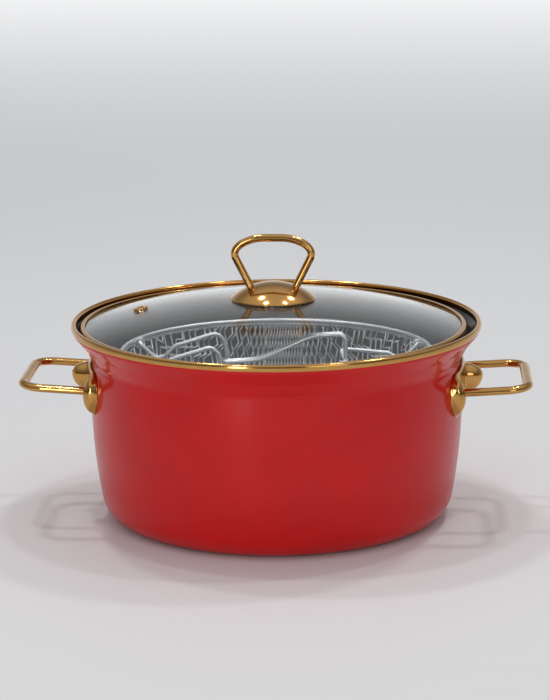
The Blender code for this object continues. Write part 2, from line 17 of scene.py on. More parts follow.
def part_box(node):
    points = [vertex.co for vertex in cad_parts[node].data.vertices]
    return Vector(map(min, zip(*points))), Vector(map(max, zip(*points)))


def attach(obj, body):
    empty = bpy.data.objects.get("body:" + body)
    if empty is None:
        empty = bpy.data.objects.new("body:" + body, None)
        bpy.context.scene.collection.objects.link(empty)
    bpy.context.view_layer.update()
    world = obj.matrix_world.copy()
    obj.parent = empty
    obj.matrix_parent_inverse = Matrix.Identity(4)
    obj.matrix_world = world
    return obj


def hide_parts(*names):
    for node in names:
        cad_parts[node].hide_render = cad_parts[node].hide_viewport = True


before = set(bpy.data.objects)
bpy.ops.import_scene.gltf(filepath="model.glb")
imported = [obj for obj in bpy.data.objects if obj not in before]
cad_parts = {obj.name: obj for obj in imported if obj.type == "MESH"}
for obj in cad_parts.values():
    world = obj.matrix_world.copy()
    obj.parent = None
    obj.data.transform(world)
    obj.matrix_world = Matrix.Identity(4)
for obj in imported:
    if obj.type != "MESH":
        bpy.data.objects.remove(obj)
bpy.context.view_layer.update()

logging.basicConfig(level=logging.INFO, format="%(message)s")
log = logging.getLogger("casserole")

MM = 0.001
MERGE = 0.002 * MM


class Body(Enum):
    """The bodies that pieces ride on."""

    POT = "pot"
    LID = "lid"
    BASKET = "basket"
    LONG_HANDLE = "long_handle"
    SHORT_HANDLE = "short_handle"


class Slot(Enum):
    """The record's material slots."""

    RED_ENAMEL = "red_enamel"
    GOLD_STEEL = "gold_steel"
    CLEAR_GLASS = "clear_glass"
    PLAIN_STEEL = "plain_steel"
    CHROMED_WIRE = "chromed_wire"
    SILICONE = "silicone"


# ---------------------------------------------------------------- materials


def linear(code: str) -> tuple[float, float, float, float]:
    """Turn an sRGB hex colour into the linear colour that shaders take.

    Args:
        code: six hex digits after a hash.

    Returns:
        Red, green, blue and an alpha of 1.
    """
    shares = (int(code[i : i + 2], 16) / 255 for i in (1, 3, 5))
    red, green, blue = (s / 12.92 if s <= 0.04045 else ((s + 0.055) / 1.055) ** 2.4 for s in shares)
    return red, green, blue, 1.0


def add_node(
    tree: bpy.types.NodeTree,
    kind: str,
    settings: dict[str, object] | None = None,
    inputs: dict[str | int, object] | None = None,
) -> bpy.types.Node:
    """Add a node with its settings, and fill or link its inputs.

    Args:
        tree: the node tree that it joins.
        kind: the node's type name.
        settings: values of the node's own properties.
        inputs: a value or another node's output socket for each named or numbered input.

    Returns:
        The new node.
    """
    node = tree.nodes.new(kind)
    for name, value in (settings or {}).items():
        setattr(node, name, value)
    fill(node, inputs or {})
    return node


def fill(node: bpy.types.Node, inputs: dict[str | int, object]) -> None:
    """Link an input where the value is another node's output, and set it where it is not."""
    for name, value in inputs.items():
        if isinstance(value, bpy.types.NodeSocket):
            node.id_data.links.new(value, node.inputs[name])
        else:
            node.inputs[name].default_value = value


def new_material(name: str) -> tuple[bpy.types.Material, bpy.types.NodeTree, bpy.types.Node]:
    """A node material, its tree and its Principled shader."""
    made = bpy.data.materials.new(name)
    made.use_nodes = True
    return made, made.node_tree, made.node_tree.nodes["Principled BSDF"]


@dataclass
class Pattern:
    """Noise whose blotches have a real size, on Object coordinates."""

    tree: bpy.types.NodeTree
    grain: float             # size of a blotch in metres
    detail: float = 3.0      # how many finer layers it has
    stretch: float = 1.0     # how much longer the blotches are along Z

    def __post_init__(self) -> None:
        """Lay the noise."""
        place = add_node(self.tree, "ShaderNodeTexCoord")
        scale = (1, 1, 1 / self.stretch)
        turned = add_node(self.tree, "ShaderNodeMapping", inputs={0: place.outputs["Object"], "Scale": scale})
        inputs = {"Vector": turned.outputs["Vector"], "Scale": 1 / self.grain, "Detail": self.detail}
        self.value = add_node(self.tree, "ShaderNodeTexNoise", inputs=inputs).outputs["Fac"]

    def between(self, low: float, high: float) -> bpy.types.NodeSocket:
        """Values from low to high. Noise stays near its middle, so its middle part is stretched."""
        inputs = {"Value": self.value, "From Min": 0.3, "From Max": 0.7, "To Min": low, "To Max": high}
        return add_node(self.tree, "ShaderNodeMapRange", inputs=inputs).outputs["Result"]

    def clouded(self, first: str, second: str) -> bpy.types.NodeSocket:
        """Two colours blended in clouds."""
        inputs = {"Factor": self.between(0, 1), 6: linear(first), 7: linear(second)}
        return add_node(self.tree, "ShaderNodeMix", {"data_type": "RGBA"}, inputs).outputs[2]

    def relief(self, depth: float) -> bpy.types.NodeSocket:
        """The noise as a relief of a real depth."""
        inputs = {"Height": self.value, "Distance": depth, "Strength": 1.0}
        return add_node(self.tree, "ShaderNodeBump", inputs=inputs).outputs["Normal"]


@dataclass(frozen=True)
class VitreousEnamel:
    """Porcelain enamel: glass frit sprayed on steel and fired.

    It is a coloured, slightly milky layer under a wet-looking glass surface. The spray leaves a faint
    orange peel, and the fired coat has soft clouds of thickness and a few pinhead specks.
    """

    name: str
    colour: str
    cloud_colour: str
    speck_colour: str
    cloud: float = 45 * MM
    speck: float = 1.1 * MM      # real specks are about 0.3 mm and are drawn coarser to show
    speck_strength: float = 0.5
    orange_peel: float = 5 * MM
    peel_depth: float = 0.012 * MM
    body_roughness: float = 0.42
    body_haze: float = 0.04
    gloss_roughness: float = 0.035
    gloss: float = 0.5

    def build(self) -> bpy.types.Material:
        """Make the enamel's material."""
        made, tree, shader = new_material(self.name)
        clouds = Pattern(tree, self.cloud, 2)
        specks = Pattern(tree, self.speck, 1)
        peel = Pattern(tree, self.orange_peel, 1).relief(self.peel_depth)
        dots = add_node(
            tree,
            "ShaderNodeMapRange",
            inputs={"Value": specks.value, "From Min": 0.74, "From Max": 0.8, "To Max": self.speck_strength},
        )
        speckled = add_node(
            tree,
            "ShaderNodeMix",
            {"data_type": "RGBA"},
            {
                "Factor": dots.outputs["Result"],
                6: clouds.clouded(self.colour, self.cloud_colour),
                7: linear(self.speck_colour),
            },
        )
        low, high = self.body_roughness - self.body_haze, self.body_roughness + self.body_haze
        fill(
            shader,
            {
                "Base Color": speckled.outputs[2],
                "Roughness": clouds.between(low, high),
                "Normal": peel,
                "Coat Normal": peel,
                "Specular IOR Level": 0.1,
                "Coat Weight": self.gloss,
                "Coat IOR": 1.5,
                "Coat Roughness": self.gloss_roughness,
            },
        )
        return made


@dataclass(frozen=True)
class PolishedMetal:
    """A polished or plated metal: a mirror that is a little cloudy, with buffing haze and fine lines."""

    name: str
    colour: str
    cloud_colour: str
    roughness: float
    haze: float = 0.05           # how much the roughness rises in hazy patches
    cloud: float = 14 * MM
    line: float = 0.5 * MM       # buffing lines are finer and are drawn as coarse as they need to show
    line_stretch: float = 14.0
    line_depth: float = 0.0012 * MM

    def build(self) -> bpy.types.Material:
        """Make the metal's material."""
        made, tree, shader = new_material(self.name)
        clouds = Pattern(tree, self.cloud)
        fill(
            shader,
            {
                "Base Color": clouds.clouded(self.colour, self.cloud_colour),
                "Roughness": clouds.between(self.roughness, self.roughness + self.haze),
                "Normal": Pattern(tree, self.line, 2, self.line_stretch).relief(self.line_depth),
                "Metallic": 1.0,
            },
        )
        return made


@dataclass(frozen=True)
class TemperedGlass:
    """Pressed and tempered soda-lime glass: clear with a cool tint, and wiped, so it is barely hazy."""

    name: str
    colour: str
    smear: float = 30 * MM
    haze: float = 0.03
    ripple: float = 60 * MM
    ripple_depth: float = 0.02 * MM
    shade: float = 0.12          # how much of a lamp's light the glass holds back

    def build(self) -> bpy.types.Material:
        """Make the glass's material. Only a lamp's rays see it part clear, so the basket stays lit."""
        made, tree, shader = new_material(self.name)
        rays = add_node(tree, "ShaderNodeLightPath")
        passing = add_node(
            tree,
            "ShaderNodeMapRange",
            inputs={"Value": rays.outputs["Is Shadow Ray"], "To Min": 1.0, "To Max": self.shade},
        )
        fill(
            shader,
            {
                "Base Color": linear(self.colour),
                "Roughness": Pattern(tree, self.smear).between(0.0, self.haze),
                "Normal": Pattern(tree, self.ripple, 0).relief(self.ripple_depth),
                "Alpha": passing.outputs["Result"],
                "Transmission Weight": 1.0,
                "IOR": 1.5,
            },
        )
        return made


@dataclass(frozen=True)
class MouldedRubber:
    """Moulded silicone rubber: matt and dark, with a soft grain from the mould."""

    name: str
    colour: str
    bloom_colour: str
    grain: float = 0.8 * MM
    depth: float = 0.02 * MM
    roughness: float = 0.55

    def build(self) -> bpy.types.Material:
        """Make the rubber's material."""
        made, tree, shader = new_material(self.name)
        grains = Pattern(tree, self.grain, 2)
        fill(
            shader,
            {
                "Base Color": grains.clouded(self.colour, self.bloom_colour),
                "Normal": grains.relief(self.depth),
                "Roughness": self.roughness,
            },
        )
        return made


@dataclass(frozen=True)
class Finish:
    """A material with the record's slot that it fills."""

    material: bpy.types.Material
    slot: Slot


@dataclass(frozen=True)
class Finishes:
    """Every finish on the casserole, built once."""

    red: Finish
    black: Finish
    gold: Finish
    glass: Finish
    chrome: Finish
    steel: Finish
    rubber: Finish

    @classmethod
    def build(cls) -> "Finishes":
        """Make all the materials."""
        red = VitreousEnamel("red_vitreous_enamel", "#CE070A", "#C20609", "#8E0305")
        black = VitreousEnamel("black_vitreous_enamel", "#161513", "#1D1C1A", "#343230")
        gold = PolishedMetal("gold_plated_steel", "#CF9E5D", "#C49251", 0.09)
        glass = TemperedGlass("tempered_glass", "#F7F9FA")
        chrome = PolishedMetal("bright_chromed_wire", "#F4F5F7", "#E8EAED", 0.36, cloud=5 * MM)
        steel = PolishedMetal("turned_stainless_steel", "#C2C3C4", "#B2B3B5", 0.26)
        rubber = MouldedRubber("moulded_silicone", "#232325", "#2E2E31")
        return cls(
            red=Finish(red.build(), Slot.RED_ENAMEL),
            black=Finish(black.build(), Slot.RED_ENAMEL),
            gold=Finish(gold.build(), Slot.GOLD_STEEL),
            glass=Finish(glass.build(), Slot.CLEAR_GLASS),
            chrome=Finish(chrome.build(), Slot.CHROMED_WIRE),
            steel=Finish(steel.build(), Slot.PLAIN_STEEL),
            rubber=Finish(rubber.build(), Slot.SILICONE),
        )


# ---------------------------------------------------------------- shapes


def rounded(
    corners: Sequence[Sequence[float]], radii: Sequence[float], step: float = radians(9)
) -> list[Vector]:
    """Join corners by straight runs, with each inner corner bent to an arc.

    Args:
        corners: the corner points, in two or three dimensions.
        radii: a radius for each inner corner; the corners past the last one stay sharp.
        step: the most that the arc turns between two points.

    Returns:
        The points of the path.
    """
    path = [Vector(corners[0])]
    wanted = list(radii) + [0.0] * (len(corners) - 2 - len(radii))
    for before, corner, after, radius in zip(corners, corners[1:], corners[2:], wanted):
        corner = Vector(corner)
        back = (Vector(before) - corner).normalized()
        ahead = (Vector(after) - corner).normalized()
        turn = pi - back.angle(ahead)
        if radius <= 0 or turn < step / 4:
            path.append(corner)
            continue
        reach = radius * sin(turn / 2) / cos(turn / 2)
        centre = corner + (back + ahead).normalized() * radius / cos(turn / 2)
        start = corner + back * reach - centre
        finish = corner + ahead * reach - centre
        steps = ceil(turn / step)
        for number in range(steps + 1):
            share = number / steps
            arm = start * sin(turn * (1 - share)) + finish * sin(turn * share)
            path.append(centre + arm / sin(turn))
    path.append(Vector(corners[-1]))
    return path


def lathe(outline: Sequence[Sequence[float]], steps: int = 160, closed: bool = False) -> bmesh.types.BMesh:
    """Turn an outline about Z.

    Args:
        outline: radius and height of each point.
        steps: how many sides a full turn has.
        closed: whether the last point joins the first.

    Returns:
        The turned mesh, with its pole and seam closed.
    """
    mesh = bmesh.new()
    verts = [mesh.verts.new((point[0], 0, point[1])) for point in outline]
    pairs = list(zip(verts, verts[1:])) + ([(verts[-1], verts[0])] if closed else [])
    edges = [mesh.edges.new(pair) for pair in pairs]
    bmesh.ops.spin(
        mesh, geom=verts + edges, axis=(0, 0, 1), cent=(0, 0, 0), angle=2 * pi, steps=steps, use_merge=True
    )
    bmesh.ops.remove_doubles(mesh, verts=mesh.verts, dist=MERGE)
    bmesh.ops.recalc_face_normals(mesh, faces=mesh.faces)
    return mesh


def hoop(
    radius: float, thickness: float, height: float, steps: int = 160, sides: int = 14
) -> bmesh.types.BMesh:
    """A round wire bent to a full circle about Z."""
    outline = [
        (radius + thickness / 2 * cos(2 * pi * k / sides), height + thickness / 2 * sin(2 * pi * k / sides))
        for k in range(sides)
    ]
    return lathe(outline, steps, closed=True)


def tubes(paths: Sequence[Sequence[Vector]], thickness: float, roundness: int = 4) -> bmesh.types.BMesh:
    """Round wires along open paths.

    Args:
        paths: the points that each wire follows.
        thickness: the wires' diameter.
        roundness: how finely the round section is divided.

    Returns:
        The wires as one mesh, with closed ends.
    """
    curve = bpy.data.curves.new("wire", "CURVE")
    curve.dimensions = "3D"
    curve.bevel_depth = thickness / 2
    curve.bevel_resolution = roundness
    curve.use_fill_caps = True
    for path in paths:
        spline = curve.splines.new("POLY")
        spline.points.add(len(path) - 1)
        for point, place in zip(spline.points, path):
            point.co = (*place, 1)
    holder = bpy.data.objects.new("wire", curve)
    bpy.context.scene.collection.objects.link(holder)
    bpy.context.view_layer.update()
    shape = bpy.data.meshes.new_from_object(holder.evaluated_get(bpy.context.evaluated_depsgraph_get()))
    bpy.data.objects.remove(holder, do_unlink=True)
    bpy.data.curves.remove(curve)
    mesh = bmesh.new()
    mesh.from_mesh(shape)
    bpy.data.meshes.remove(shape)
    bmesh.ops.remove_doubles(mesh, verts=mesh.verts, dist=MERGE)
    bmesh.ops.recalc_face_normals(mesh, faces=mesh.faces)
    return mesh


def placed(mesh: bmesh.types.BMesh, matrix: Matrix) -> bmesh.types.BMesh:
    """Move a mesh to its place."""
    bmesh.ops.transform(mesh, matrix=matrix, verts=mesh.verts)
    return mesh


def finished(
    name: str,
    mesh: bmesh.types.BMesh,
    finish: Finish,
    body: Body,
    nodes: Sequence[str],
    sharp: float = 40.0,
    lining: Finish | None = None,
) -> bpy.types.Object:
    """Turn a mesh into a finished piece of the casserole.

    Args:
        name: the piece's name.
        mesh: its shape, in its place. It is freed here.
        finish: its finish.
        body: the body that it rides on.
        nodes: the CAD nodes that it stands for.
        sharp: edges that turn more than this many degrees stay sharp.
        lining: the finish of the faces that have material number 1.

    Returns:
        The piece.
    """
    data = bpy.data.meshes.new(name)
    mesh.to_mesh(data)
    mesh.free()
    for layer in filter(None, (finish, lining)):
        data.materials.append(layer.material)
    data.shade_smooth()
    data.set_sharp_from_angle(angle=radians(sharp))
    piece = bpy.data.objects.new(name, data)
    bpy.context.scene.collection.objects.link(piece)
    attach(piece, body.value)
    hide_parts(*nodes)
    log.info("%-26s %6d faces, rides on %s", name, len(data.polygons), body.value)
    return piece


def middle(node: str) -> Vector:
    """The middle of a CAD node's box."""
    low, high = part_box(node)
    return (low + high) / 2


def mirrored(half: list[Vector], flip: Callable[[Vector], Vector]) -> list[Vector]:
    """A half path that ends on a plane, carried on by its mirror image."""
    return half + [flip(p) for p in reversed(half[:-1])]


# ---------------------------------------------------------------- pot


@dataclass
class Pot:
    """The enamelled steel pot and the gold strip rolled over its edge."""

    finishes: Finishes
    belly_height: float = 81.9 * MM
    belly_radius: float = 125.35 * MM
    belly_curve: float = 367.0 * MM
    base_corner: float = 18.4 * MM
    collar_foot: float = 110.4 * MM
    collar_height: float = 9.2 * MM
    collar_spread: float = 5.2 * MM
    flare_height: float = 8.9 * MM
    wall: float = 1.4 * MM
    strip: float = 0.8 * MM
    inner_drop: float = 3.4 * MM
    roll: float = 1.6 * MM
    bulge: float = 0.5 * MM         # how far the strip's face is rounded out
    bulge_curve: float = 5.0 * MM
    waist_drop: float = 0.2 * MM    # of the strip's widest line below its middle
    rim_bend: float = 3.5 * MM
    flare_bend: float = 2.2 * MM
    collar_bend: float = 4.0 * MM
    wall_steps: int = 40
    corner_steps: int = 14
    base_rings: int = 6
    turns: int = 224

    def __post_init__(self) -> None:
        """Read the rim's place from the frame."""
        self.rim_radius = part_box("pot_body")[1].y
        self.rim_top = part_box("pot_body")[1].z

    def belly(self, height: float) -> float:
        """The outer radius at a height on the bulged wall."""
        rise = height - self.belly_height
        return self.belly_radius - self.belly_curve + sqrt(self.belly_curve**2 - rise**2)

    def outer_line(self) -> list[Vector]:
        """The outside of the pot, from the rim down to the middle of the base."""
        lean = asin((self.belly_height - self.base_corner) / (self.belly_curve - self.base_corner))
        corner_top = self.base_corner * (1 - sin(lean))
        corner_centre = self.belly(corner_top) - self.base_corner * cos(lean)
        foot_radius = self.belly(self.collar_foot)
        collar_radius = foot_radius + self.collar_spread
        collar_top = self.collar_foot + self.collar_height
        head = rounded(
            [
                (self.rim_radius, self.rim_top),
                (self.rim_radius, collar_top + self.flare_height),
                (collar_radius, collar_top),
                (foot_radius + self.collar_spread / 3, self.collar_foot + self.collar_height / 4),
                (foot_radius, self.collar_foot),
            ],
            [self.rim_bend, self.flare_bend, self.collar_bend],
        )
        wall = []
        for k in range(1, self.wall_steps + 1):
            z = self.collar_foot + (corner_top - self.collar_foot) * k / self.wall_steps
            wall.append(Vector((self.belly(z), z)))
        foot = []
        for k in range(1, self.corner_steps + 1):
            turn = lean + (pi / 2 - lean) * k / self.corner_steps
            foot.append(
                Vector((corner_centre + self.base_corner * cos(turn), self.base_corner * (1 - sin(turn))))
            )
        rings = self.base_rings
        floor = [Vector((foot[-1].x * k / rings, 0)) for k in range(rings - 1, -1, -1)]
        return head + wall + foot + floor

    def build_shell(self) -> bpy.types.Object:
        """The pot with a real wall: red outside, black inside."""
        outer = self.outer_line()
        mesh = lathe(outer, self.turns)
        bmesh.ops.solidify(mesh, geom=mesh.faces[:], thickness=self.wall)
        bmesh.ops.recalc_face_normals(mesh, faces=mesh.faces)
        self._paint_inside(mesh)
        red, black = self.finishes.red, self.finishes.black
        return finished("pot_enamelled_shell", mesh, red, Body.POT, ["pot_body"], sharp=60, lining=black)

    def _paint_inside(self, mesh: bmesh.types.BMesh) -> None:
        """Give the black enamel to the faces that look inwards or up into the pot."""
        for face in mesh.faces:
            centre = face.calc_center_median()
            outwards = face.normal.x * centre.x + face.normal.y * centre.y
            on_floor = centre.z < 3 * self.wall and face.normal.z > 0.3
            face.material_index = 1 if on_floor or outwards < -0.02 * centre.xy.length else 0

    def build_trim(self) -> bpy.types.Object:
        """The strip over the edge, rolled to a full round bead."""
        low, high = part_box("rim_trim")
        outside = high.y
        inside = self.rim_radius - self.wall - (outside - self.rim_radius)
        sheet = self.strip
        waist = (low.z + high.z) / 2 - self.waist_drop
        line = rounded(
            [
                (inside, high.z - self.inner_drop),
                (inside, high.z),
                (outside - self.bulge, high.z),
                (outside, waist),
                (outside - 0.9 * self.bulge, low.z),
                (outside - sheet, low.z),
                (outside - sheet, high.z - sheet),
                (inside + sheet, high.z - sheet),
                (inside + sheet, high.z - self.inner_drop),
            ],
            [self.roll, self.roll, self.bulge_curve, 0.05 * MM, 0.0, self.roll - sheet, self.roll - sheet],
            radians(6),
        )
        mesh = lathe(line, self.turns, closed=True)
        return finished("pot_rim_strip", mesh, self.finishes.gold, Body.POT, ["rim_trim"])


# ---------------------------------------------------------------- side handles


class Side(Enum):
    """Which side of the pot a handle is on, with its turn about Z."""

    RIGHT = 0.0
    LEFT = pi


@dataclass
class SideHandle:
    """One flattened rod handle and its pressed bracket."""

    finishes: Finishes
    side: Side
    wall_radius: float = 125.75 * MM
    rod_width: float = 7.0 * MM
    rod_height: float = 5.3 * MM
    spacing: float = 79.0 * MM
    bend: float = 14.0 * MM
    rise: float = radians(3.4)
    height: float = 93.0 * MM
    sheet: float = 1.3 * MM
    half_length: float = 47.0 * MM   # of the bracket, round the wall
    lobe: Vector = Vector((6.6, 8.0, 12.6)) * MM     # proud, half width, half height
    lobe_height: float = 90.2 * MM
    flange: float = 2.2 * MM         # flat of the bracket round each lobe
    boss: Vector = Vector((12.2, 8.4, 7.6)) * MM
    boss_height: float = 96.8 * MM
    boss_tail: float = 12.5 * MM
    smoothing: int = 14              # rounds the creases where the lobes leave the flat
    middle_low: float = 83.4 * MM    # the web's lower and upper edge
    middle_high: float = 107.0 * MM
    soft_edge: float = 1.1 * MM
    tuck: float = 0.5 * MM           # how far the bracket's edge sinks into the wall

    def _name(self, what: str) -> str:
        """A piece's name with its side in front."""
        return f"{self.side.name.lower()}_{what}"

    def build_rod(self) -> bpy.types.Object:
        """The flattened rod, bent at its two outer corners."""
        low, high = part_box(self._name("handle_rod"))
        outer = max(abs(low.x), abs(high.x)) - self.rod_width / 2
        arm = self.spacing / 2
        root = sqrt(self.wall_radius**2 - arm**2) + self.sheet
        path = rounded(
            [(root, arm, 0), (outer, arm, 0), (outer, -arm, 0), (root, -arm, 0)], [self.bend, self.bend]
        )
        pivot = Vector((root, 0, 0))
        mesh = tubes([[p - pivot for p in path]], self.rod_width, 8)
        pose = (
            Matrix.Rotation(self.side.value, 4, "Z")
            @ Matrix.Translation((root, 0, self.height))
            @ Matrix.Rotation(-self.rise, 4, "Y")
            @ Matrix.Diagonal((1, 1, self.rod_height / self.rod_width, 1))
        )
        node = self._name("handle_rod")
        return finished(self._name("oval_rod"), placed(mesh, pose), self.finishes.gold, Body.POT, [node])

    def _edges(self, along: float) -> tuple[float, float]:
        """The bracket's lower and upper edge at a distance round the wall from its middle."""
        lobe_at = self.spacing / 2
        near_lobe = min(1.0, max(0.0, (abs(along) - 14 * MM) / (lobe_at - 20 * MM)))
        near_lobe = near_lobe * near_lobe * (3 - 2 * near_lobe)
        lobe_low = self.lobe_height - self.lobe.z - self.flange
        lobe_high = self.lobe_height + self.lobe.z + self.flange
        low = self.middle_low + (lobe_low - self.middle_low) * near_lobe
        high = self.middle_high + (lobe_high - self.middle_high) * near_lobe
        beyond = max(0.0, (abs(along) - lobe_at + 5 * MM) / (self.half_length - lobe_at + 5 * MM))
        pinch = 1 - sqrt(max(0.0, 1 - min(1.0, beyond) ** 2))
        centre = self.lobe_height + 1.5 * MM
        return low + (centre - low) * pinch, high + (centre - high) * pinch

    def _bulge(self, along: float, height: float) -> float:
        """How far the pressed lobes and boss stand out from the flat of the bracket."""
        lobe_rise = height - self.lobe_height
        taper = 1.0 - 0.3 * max(0.0, -lobe_rise / self.lobe.z)
        across = (abs(along) - self.spacing / 2 - 0.6 * MM) / (self.lobe.y * taper)
        lobe = 1 - across**2 - (lobe_rise / self.lobe.z) ** 2
        boss_rise = height - self.boss_height
        boss_reach = self.boss.z if boss_rise > 0 else self.boss_tail
        boss = 1 - (along / self.boss.y) ** 2 - (boss_rise / boss_reach) ** 2
        return max(self.lobe.x * max(0.0, lobe) ** 0.62, self.boss.x * max(0.0, boss) ** 0.5)

    def build_bracket(self) -> bpy.types.Object:
        """The pressed plate: two leaf-shaped lobes and a round boss, joined by curved webs."""
        mesh = bmesh.new()
        bmesh.ops.create_grid(mesh, x_segments=230, y_segments=64, size=1)
        soft = self.soft_edge
        for vert in mesh.verts:
            along = vert.co.x * self.half_length
            low, high = self._edges(along)
            height = low + (high - low) * (vert.co.y + 1) / 2
            inside = min((1 - abs(vert.co.y)) * (high - low) / 2, (1 - abs(vert.co.x)) * self.half_length)
            roll = sqrt(max(0.0, 1 - (1 - min(1.0, inside / soft)) ** 2))
            proud = self.sheet * (0.25 + 0.75 * roll) + self._bulge(along, height) * min(1.0, inside / soft)
            turn = along / self.wall_radius
            vert.co = Vector((cos(turn), sin(turn), 0)) * (self.wall_radius + proud) + Vector((0, 0, height))
        for _ in range(self.smoothing):
            bmesh.ops.smooth_vert(
                mesh,
                verts=[v for v in mesh.verts if not v.is_boundary],
                factor=0.5,
                use_axis_x=True,
                use_axis_y=True,
                use_axis_z=True,
            )
        bmesh.ops.remove_doubles(mesh, verts=mesh.verts, dist=MERGE)
        bmesh.ops.recalc_face_normals(mesh, faces=mesh.faces)
        if sum(face.normal.x * face.calc_area() for face in mesh.faces) < 0:
            bmesh.ops.reverse_faces(mesh, faces=mesh.faces)
        rim = [edge for edge in mesh.edges if edge.is_boundary]
        skirt = bmesh.ops.extrude_edge_only(mesh, edges=rim)["geom"]
        for vert in (item for item in skirt if isinstance(item, bmesh.types.BMVert)):
            vert.co.xy = vert.co.xy.normalized() * (self.wall_radius - self.tuck)
        bmesh.ops.recalc_face_normals(mesh, faces=mesh.faces)
        placed(mesh, Matrix.Rotation(self.side.value, 4, "Z"))
        node = self._name("bracket")
        return finished(self._name("pressed_bracket"), mesh, self.finishes.gold, Body.POT, [node], sharp=50)


# ---------------------------------------------------------------- lid


@dataclass
class Lid:
    """The domed glass in its gold band, with the vent's eyelet."""

    finishes: Finishes
    band_width: float = 3.2 * MM
    band_round: float = 1.5 * MM
    glass_thickness: float = 4.0 * MM
    glass_rise: float = 18.44 * MM
    glass_inset: float = 1.0 * MM
    edge_drop: float = 1.8 * MM
    lip: float = 0.9 * MM
    gap: float = 0.3 * MM
    vent_hole: float = 3.4 * MM
    vent_flange: float = 5.0 * MM
    vent_sheet: float = 0.8 * MM
    boss_hole: float = 5.1 * MM
    turns: int = 224

    def __post_init__(self) -> None:
        """Read the lid's place from the frame."""
        low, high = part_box("lid_band")
        self.radius = (high.y - low.y) / 2
        self.seat = low.z
        self.top = high.z
        self.place = Matrix.Translation((middle("lid_band").x, 0, 0))
        self.glass_radius = self.radius - self.glass_inset
        self.edge = self.top - self.edge_drop
        self.curve = (self.glass_radius**2 + self.glass_rise**2) / (2 * self.glass_rise)
        self.vent_offset = middle("lid_band").x - middle("vent_eyelet").x

    def surface(self, radius: float) -> float:
        """The height of the glass's top at a distance from its middle."""
        return self.edge + self.glass_rise - self.curve + sqrt(self.curve**2 - radius**2)

    def _vent_seat(self) -> Matrix:
        """The vent's place, square to the glass."""
        lean = asin(self.vent_offset / self.curve)
        return (
            self.place
            @ Matrix.Translation((-self.vent_offset, 0, self.surface(self.vent_offset)))
            @ Matrix.Rotation(-lean, 4, "Y")
        )

    def build_glass(self) -> bpy.types.Object:
        """The dome, with ground edges, the knob's hole and the vent's hole."""
        steps = 30
        radii = [self.boss_hole + (self.glass_radius - self.boss_hole) * k / steps for k in range(steps + 1)]
        above = [Vector((r, self.surface(r))) for r in radii]
        normals = [Vector((r, sqrt(self.curve**2 - r * r))) / self.curve for r in radii]
        below = [point - normal * self.glass_thickness for point, normal in zip(above, normals)]
        line = rounded(
            above[:-1] + [above[-1], below[-1]] + list(reversed(below[:-1])),
            [0.0] * (steps - 1) + [1.2 * MM, 1.2 * MM],
        )
        mesh = placed(lathe(line, self.turns, closed=True), self.place)
        glass = finished("lid_glass_dome", mesh, self.finishes.glass, Body.LID, ["lid_glass"], sharp=50)
        drill = bmesh.new()
        bmesh.ops.create_cone(
            drill,
            cap_ends=True,
            segments=48,
            radius1=self.vent_hole,
            radius2=self.vent_hole,
            depth=4 * self.glass_thickness,
            matrix=self._vent_seat(),
        )
        bored(glass, drill)
        return glass

    def build_band(self) -> bpy.types.Object:
        """The gold band: a groove that grips the glass's edge, with a rounded outer top."""
        inner = self.radius - self.band_width
        tilt = asin(self.glass_radius / self.curve)
        groove = self.glass_radius + self.gap
        groove_bottom = self.edge - self.glass_thickness * cos(tilt) - self.gap
        line = rounded(
            [
                (inner, (self.seat + groove_bottom) / 2),
                (inner, groove_bottom),
                (groove, groove_bottom),
                (groove, self.top - self.lip),
                (inner, self.top - self.lip),
                (inner, self.top),
                (self.radius, self.top),
                (self.radius, self.seat),
                (inner, self.seat),
                (inner, (self.seat + groove_bottom) / 2),
            ],
            [0.3 * MM, 0, 0, 0.3 * MM, 0.4 * MM, self.band_round, self.band_round, 0.6 * MM],
        )
        mesh = placed(lathe(line[:-1], self.turns, closed=True), self.place)
        return finished("lid_gold_band", mesh, self.finishes.gold, Body.LID, ["lid_band"])

    def build_vent(self) -> bpy.types.Object:
        """The rolled eyelet that lines the steam hole."""
        sheet = self.vent_sheet
        tube = self.vent_hole - self.gap
        bore = tube - sheet
        top = self.gap / 2
        bottom = -self.glass_thickness - self.gap
        line = rounded(
            [
                (bore, bottom / 2),
                (bore, top + 2 * sheet),
                (self.vent_flange, top + 2 * sheet),
                (self.vent_flange, top),
                (tube, top),
                (tube, bottom),
                (self.vent_flange - sheet, bottom),
                (self.vent_flange - sheet, bottom - sheet),
                (bore, bottom - sheet),
                (bore, bottom / 2),
            ],
            [0.8 * sheet, 0.95 * sheet, 0.3 * sheet, 0, 0, 0.4 * sheet, 0.4 * sheet, 0.8 * sheet],
        )
        mesh = placed(lathe(line[:-1], 64, closed=True), self._vent_seat())
        return finished("lid_vent_ring", mesh, self.finishes.gold, Body.LID, ["vent_eyelet"])


def bored(piece: bpy.types.Object, drill: bmesh.types.BMesh) -> None:
    """Cut a hole through a finished piece, and leave no modifier on it.

    Args:
        piece: the piece to bore.
        drill: the shape of the hole. It is freed here.
    """
    shape = bpy.data.meshes.new("drill")
    drill.to_mesh(shape)
    drill.free()
    tool = bpy.data.objects.new("drill", shape)
    bpy.context.scene.collection.objects.link(tool)
    cut = piece.modifiers.new("Bore", "BOOLEAN")
    cut.operation = "DIFFERENCE"
    cut.solver = "EXACT"
    cut.object = tool
    bpy.context.view_layer.update()
    whole = piece.data
    piece.data = bpy.data.meshes.new_from_object(
        piece.evaluated_get(bpy.context.evaluated_depsgraph_get())
    )
    piece.modifiers.remove(cut)
    piece.data.name = whole.name
    bpy.data.meshes.remove(whole)
    bpy.data.objects.remove(tool, do_unlink=True)
    bpy.data.meshes.remove(shape)


# ---------------------------------------------------------------- knob


